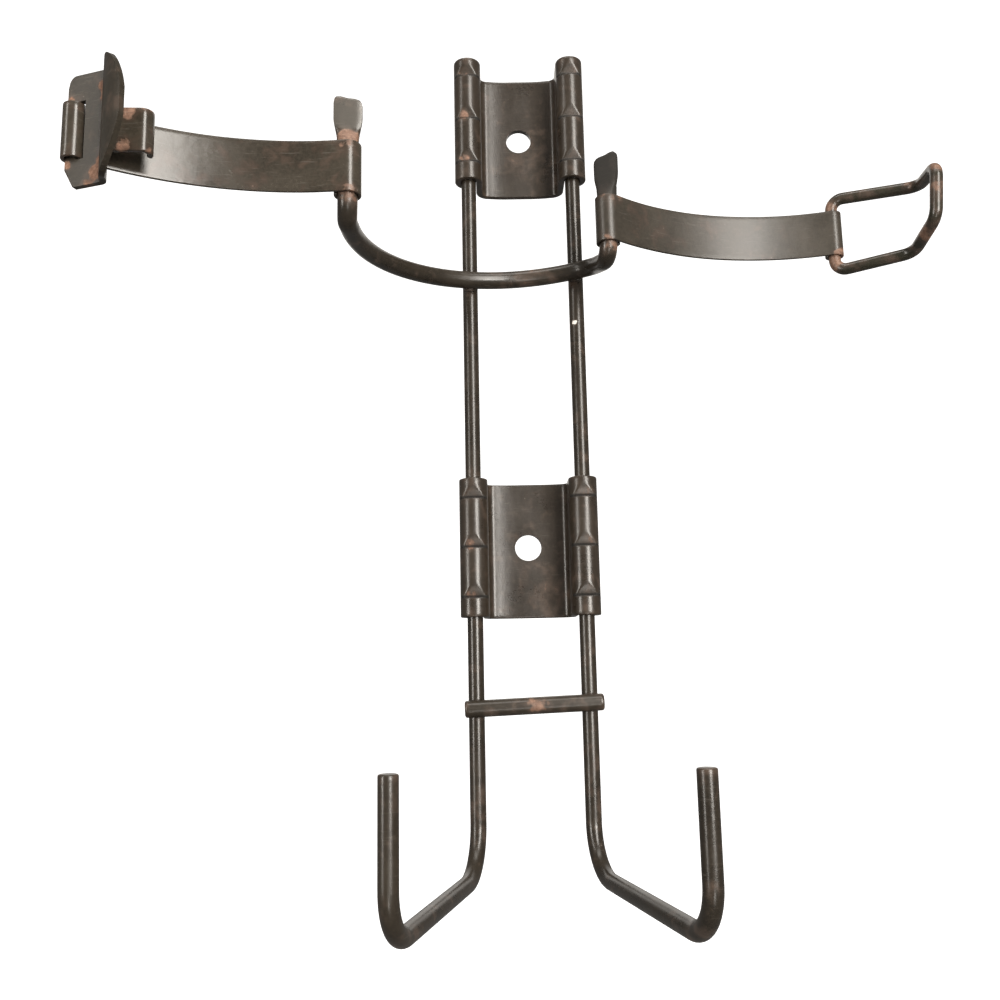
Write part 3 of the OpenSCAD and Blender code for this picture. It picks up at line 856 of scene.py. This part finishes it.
def make_bail():
    """The closed wire loop; its join is inside the strap's eye."""
    near, kick, end = BAIL_AT, BAIL_KICK, BAIL_END
    start = v3(near.x, near.y, STRAP_Z)
    corners = [
        start,
        start + v3(0, 0, BAIL_RISE),
        v3(kick.x, kick.y, STRAP_Z + 14),
        v3(end.x, end.y, STRAP_Z + 12.4),
        v3(155, -67.7, STRAP_Z - 8.6),
        v3(154.5, -47.3, STRAP_Z - 14),
        start - v3(0, 0, BAIL_RISE),
        start + v3(0, 0, -0.001),
    ]
    pts = wire_path(corners, [0, 4.6, 7, 5.5, 5.5, 7, 4.6, 0], 0.8)[:-1]
    ob = tube("bail_wire", pts, BAIL_D / 2, sides=26, closed=True)
    spots = [
        (v3(near.x, near.y, STRAP_Z + 11.5), 4.5, 0.90), (v3(near.x, near.y, STRAP_Z - 12), 5.5, 1.0),
        (v3(end.x, end.y, STRAP_Z + 12), 5, 0.85), (v3(kick.x + 1, kick.y - 5, STRAP_Z + 13.5), 5, 0.75),
        (v3(end.x - 1, end.y, STRAP_Z + 2), 8, 0.60), (v3(155, -60, STRAP_Z - 10.5), 7, 0.85),
        (v3(kick.x - 4, kick.y + 1, STRAP_Z + 14), 4, 0.66),
    ]
    finish_piece(ob, "bail_loop", BAIL_ENAMEL, "bail", spots, 0.36)


make_bail()


# ---------------------------------------------------------------- latch lever
LEVER_ANGLE = -17.7
PLATE_END, FOLD_IN, FOLD_SWEEP = 11.4, 1.5, 63.6
FLANGE_R, FLANGE_SWEEP = 18.9, 66.6
FOLD_MID = FOLD_IN + LEVER_T / 2
FOLD_ANGLE = math.radians(FOLD_SWEEP)
FOLD_OUT = Vector((PLATE_END + FOLD_MID * math.sin(FOLD_ANGLE), -FOLD_MID * (1 - math.cos(FOLD_ANGLE))))
CURL_DIR = 90 - FOLD_SWEEP
CURL_C = FOLD_OUT + polar(CURL_DIR, FLANGE_R)
CHORD = polar(-48 - LEVER_ANGLE)
RIM_FROM, RIM_REACH = 4.0, 13.6
LEVER_HALF = 19.5
SLOT_X, SLOT_W, SLOT_H = 3.5, 3.0, 20.2


def on_lever(x, y, z):
    """A point given from the lever's pivot: along the plate, across it, up."""
    p = rotated([Vector((x, y))], KNUCKLE, LEVER_ANGLE)[0]
    return v3(p.x, p.y, STRAP_Z + z)


def lever_height(p, s, upper):
    """Half height of the lever where its middle line is at p, s along it from the pivot."""
    if s < PLATE_END:
        if upper and s < 1.0:
            return 15.4 + 4.1 * math.sqrt(max(0.0, 1 - ((1.0 - s) / 3.0) ** 2))
        if not upper and s < 1.5:
            return 13.2 + 6.3 * (s + 2.0) / 3.5
        return LEVER_HALF
    fold_end = PLATE_END + FOLD_MID * FOLD_ANGLE
    if s < fold_end:
        return LEVER_HALF
    t = max(0.0, (p - FOLD_OUT).dot(CHORD) - RIM_FROM) / RIM_REACH
    return (LEVER_HALF + 0.8 * smooth(s, fold_end, fold_end + 5)) * math.sqrt(max(0.0, 1 - t * t))


def make_lever():
    """Flat plate, fold and curled thumb flange in one sheet, with a slot for the pivot."""
    line, along = [], []
    s = -2.0
    while s < PLATE_END - 0.3:
        line.append(Vector((s, 0)))
        along.append(s)
        s += 0.5
    fold_arc = arc_points(Vector((PLATE_END, -FOLD_MID)), FOLD_MID, 90, -FOLD_SWEEP, 8)
    curl_arc = arc_points(CURL_C, FLANGE_R, CURL_DIR + 180, FLANGE_SWEEP, 1.2)
    for p in fold_arc + curl_arc[1:]:
        along.append(along[-1] + (p - line[-1]).length)
        line.append(p)
    # the rim ends where the round outline meets the middle line
    cut = len(line)
    for i, p in enumerate(line):
        if along[i] > PLATE_END + 4 and (p - FOLD_OUT).dot(CHORD) > RIM_FROM + RIM_REACH - 0.05:
            cut = i
            break
    line, along = line[:cut], along[:cut]
    n, rows = len(line), 28
    verts, faces = [], []
    normals = []
    for i in range(n):
        d = (line[min(i + 1, n - 1)] - line[max(i - 1, 0)]).normalized()
        normals.append(Vector((-d.y, d.x)))
    for side in (1, -1):
        for i in range(n):
            for k in range(rows + 1):
                f = -1 + 2 * k / rows
                half = max(lever_height(line[i], along[i], f > 0), 0.35)
                p = line[i] + normals[i] * side * LEVER_T / 2
                verts.append(v3(p.x, p.y, f * half))
    w = rows + 1
    off = n * w
    for i in range(n - 1):
        for k in range(rows):
            a, b, c, d = i * w + k, (i + 1) * w + k, (i + 1) * w + k + 1, i * w + k + 1
            faces.append((a, b, c, d))
            faces.append((off + d, off + c, off + b, off + a))
    for i in range(n - 1):
        for k in (0, rows):
            a, b = i * w + k, (i + 1) * w + k
            faces.append((a, off + a, off + b, b) if k == 0 else (b, off + b, off + a, a))
    for i in (0, n - 1):
        for k in range(rows):
            a, b = i * w + k, i * w + k + 1
            faces.append((b, off + b, off + a, a) if i == 0 else (a, off + a, off + b, b))
    ob = mesh_object("lever_plate", verts, faces)
    slot = bpy.data.meshes.new("slot")
    bm = bmesh.new()
    shape = Matrix.Translation((SLOT_X * MM, 0, 0)) @ Matrix.Diagonal((SLOT_W * MM, 0.01, SLOT_H * MM, 1))
    bmesh.ops.create_cube(bm, size=1.0, matrix=shape)
    bm.to_mesh(slot)
    bm.free()
    tool = bpy.data.objects.new("slot", slot)
    bpy.context.scene.collection.objects.link(tool)
    b = ob.modifiers.new("slot", "BOOLEAN")
    b.operation, b.object, b.solver = "DIFFERENCE", tool, "EXACT"
    bev = ob.modifiers.new("ease", "BEVEL")
    bev.width, bev.segments = 0.42 * MM, 3
    bev.limit_method, bev.angle_limit = "ANGLE", math.radians(50)
    apply_modifiers(ob)
    bpy.data.objects.remove(tool)
    turn = Matrix.Rotation(math.radians(LEVER_ANGLE), 4, "Z")
    ob.data.transform(Matrix.Translation((KNUCKLE.x * MM, KNUCKLE.y * MM, STRAP_Z * MM)) @ turn)
    crisp(ob, 40)

    spots = [
        (on_lever(11.6, -1, 14), 3.4, 0.95),
        (on_lever(11.9, -1, 10), 3.0, 0.9),
        (on_lever(10.5, -1, -16), 4.4, 1.0),
        (on_lever(12, -1.5, -12), 3.4, 0.95),
        (on_lever(-1, -1, 11), 2.6, 0.75),
        (on_lever(-1, -1, -11.5), 2.8, 0.85),
        (on_lever(8, -1, -19), 4, 0.7),
        (on_lever(16, -5, 19), 4, 0.42),
        (on_lever(24, -12, 0), 6, 0.40),
    ]
    finish_piece(ob, "lever", LEVER_ENAMEL, "latch_lever", spots, 0.26)


make_lever()


# ---------------------------------------------------------------- latch hook
TAB_W, TAB_FROM, TAB_TO, TAB_RUN = 15.0, 5.8, 11.0, 9.4
TAB_BEND_R, TAB_BEND, TAB_CURL_R, TAB_CURL = 4 + LEVER_T / 2, 20, 1.6 + LEVER_T / 2, 130


def make_hook():
    """The narrow tab behind the lever: flat, bent away by 20 degrees, then curled."""
    back = LEVER_T + TOUCH_GAP
    line = [Vector((TAB_FROM + (TAB_TO - TAB_FROM) * k / 5, back)) for k in range(6)]
    line += arc_points(Vector((TAB_TO, back + TAB_BEND_R)), TAB_BEND_R, 270, TAB_BEND, 5)[1:]
    d = polar(TAB_BEND)
    start = line[-1]
    line += [start + d * (TAB_RUN * k / 10) for k in range(1, 11)]
    centre = line[-1] + Vector((-d.y, d.x)) * TAB_CURL_R
    line += arc_points(centre, TAB_CURL_R, 270 + TAB_BEND, TAB_CURL, 8)[1:]
    plan = dedupe(rotated(line, KNUCKLE, LEVER_ANGLE))
    heights = [STRAP_Z + TAB_W * (k / 8 - 0.5) for k in range(9)]
    ob = strip("hook_tab", plan, LEVER_T, heights, ease=0.4)

    spots = [
        (on_lever(18, 3, 6), 4, 0.72),
        (on_lever(17, 3, -6), 4, 0.85),
        (on_lever(24, 6, 8), 4, 0.6),
        (on_lever(25, 7, -7), 3.5, 0.66),
        (on_lever(24, 6, 0), 5, 0.44),
    ]
    finish_piece(ob, "lever", STRAP_ENAMEL, "latch_hook", spots, 0.36)


make_hook()


# ---------------------------------------------------------------- stage, lights, camera, metres
STAGE_Z, FLOOR_R, CURVE_R = -0.62, 1.4, 1.6


def make_stage():
    """A seamless pale bowl: flat floor, rising to walls far from the object."""
    rings, n = [], 96
    profile = [(0.6, 0.0), (FLOOR_R, 0.0)]
    for angle in range(6, 91, 6):
        t = math.radians(angle)
        profile.append((FLOOR_R + CURVE_R * math.sin(t), CURVE_R * (1 - math.cos(t))))
    profile += [(FLOOR_R + CURVE_R, 2.6), (FLOOR_R + CURVE_R, 4.0)]
    verts, faces = [Vector((0, 0, 0))], []
    for r, h in profile:
        rings.append(len(verts))
        for k in range(n):
            a = 2 * math.pi * k / n
            verts.append(Vector((r * math.cos(a), r * math.sin(a), h)))
    for k in range(n):
        faces.append((0, rings[0] + k, rings[0] + (k + 1) % n))
    for a, b in zip(rings, rings[1:]):
        for k in range(n):
            l = (k + 1) % n
            faces.append((a + k, b + k, b + l, a + l))
    me = bpy.data.meshes.new("studio_floor")
    me.from_pydata([(v.x, v.y, v.z + STAGE_Z) for v in verts], [], faces)
    me.shade_smooth()
    ob = bpy.data.objects.new("studio_floor", me)
    bpy.context.scene.collection.objects.link(ob)
    m, _, bsdf = new_material("studio_white")
    bsdf.inputs["Base Color"].default_value = (0.9, 0.9, 0.9, 1)
    bsdf.inputs["Roughness"].default_value = 1.0
    bsdf.inputs["Specular IOR Level"].default_value = 0.0
    bsdf.inputs["Emission Color"].default_value = (1, 1, 1, 1)
    bsdf.inputs["Emission Strength"].default_value = 0.98
    me.materials.append(m)
    ob.visible_glossy = False
    ob.visible_diffuse = False
    ob.visible_shadow = False


def area_light(name, loc, aim, power, width, height):
    """A warm rectangular light at loc, turned to aim."""
    light = bpy.data.lights.new(name, "AREA")
    light.energy, light.color = power, (1.0, 0.955, 0.89)
    light.shape, light.size, light.size_y = "RECTANGLE", width, height
    ob = bpy.data.objects.new(name, light)
    ob.location = loc
    ob.rotation_euler = (Vector(aim) - Vector(loc)).to_track_quat("-Z", "Y").to_euler()
    bpy.context.scene.collection.objects.link(ob)


make_stage()
world = bpy.data.worlds.new("studio")
bpy.context.scene.world = world
world.use_nodes = True
world.node_tree.nodes["Background"].inputs["Color"].default_value = (1.0, 0.97, 0.93, 1)
world.node_tree.nodes["Background"].inputs["Strength"].default_value = 0.20

CENTRE = (0, -0.05, 0)
area_light("strip_left", (-1.15, -0.85, 0.25), CENTRE, 9.5, 0.24, 1.5)
area_light("strip_right", (0.58, -1.18, 0.34), (0, -0.05, 0.1), 27.0, 0.44, 1.3)
area_light("right_low", (0.58, -1.18, -0.12), CENTRE, 4.6, 0.44, 0.3)
area_light("left_low", (-1.15, -0.85, -0.12), CENTRE, 3.2, 0.24, 0.36)
area_light("low_front", (0.12, -1.0, -0.66), CENTRE, 1.6, 0.22, 0.3)
area_light("top", (0.0, -0.55, 1.35), CENTRE, 9.0, 1.2, 0.5)
area_light("back", (0.0, 1.3, 0.7), CENTRE, 7.0, 1.5, 1.5)

camera = bpy.data.cameras.new("camera")
camera.sensor_width, camera.lens = 36.0, 36.0
camera.clip_start, camera.clip_end = 0.01, 20.0
cam = bpy.data.objects.new("camera", camera)
bpy.context.scene.collection.objects.link(cam)
# camera space is x right, y down, z ahead
yaw, pitch, roll = (math.radians(a) for a in (-0.42, -9.68, -1.14))
look = (
    Matrix.Rotation(roll, 3, "Z") @ Matrix.Rotation(pitch, 3, "X") @ Matrix.Rotation(yaw, 3, "Y")
    @ Matrix(((1, 0, 0), (0, 0, -1), (0, 1, 0)))
)
right, down, ahead = look[0], look[1], look[2]
axes = Matrix((right, -down, -ahead)).transposed().to_4x4()
cam.matrix_world = Matrix.Translation((-0.014587, -0.421563, -0.143345)) @ axes
bpy.context.scene.camera = cam
bpy.context.scene.view_settings.view_transform = "Standard"
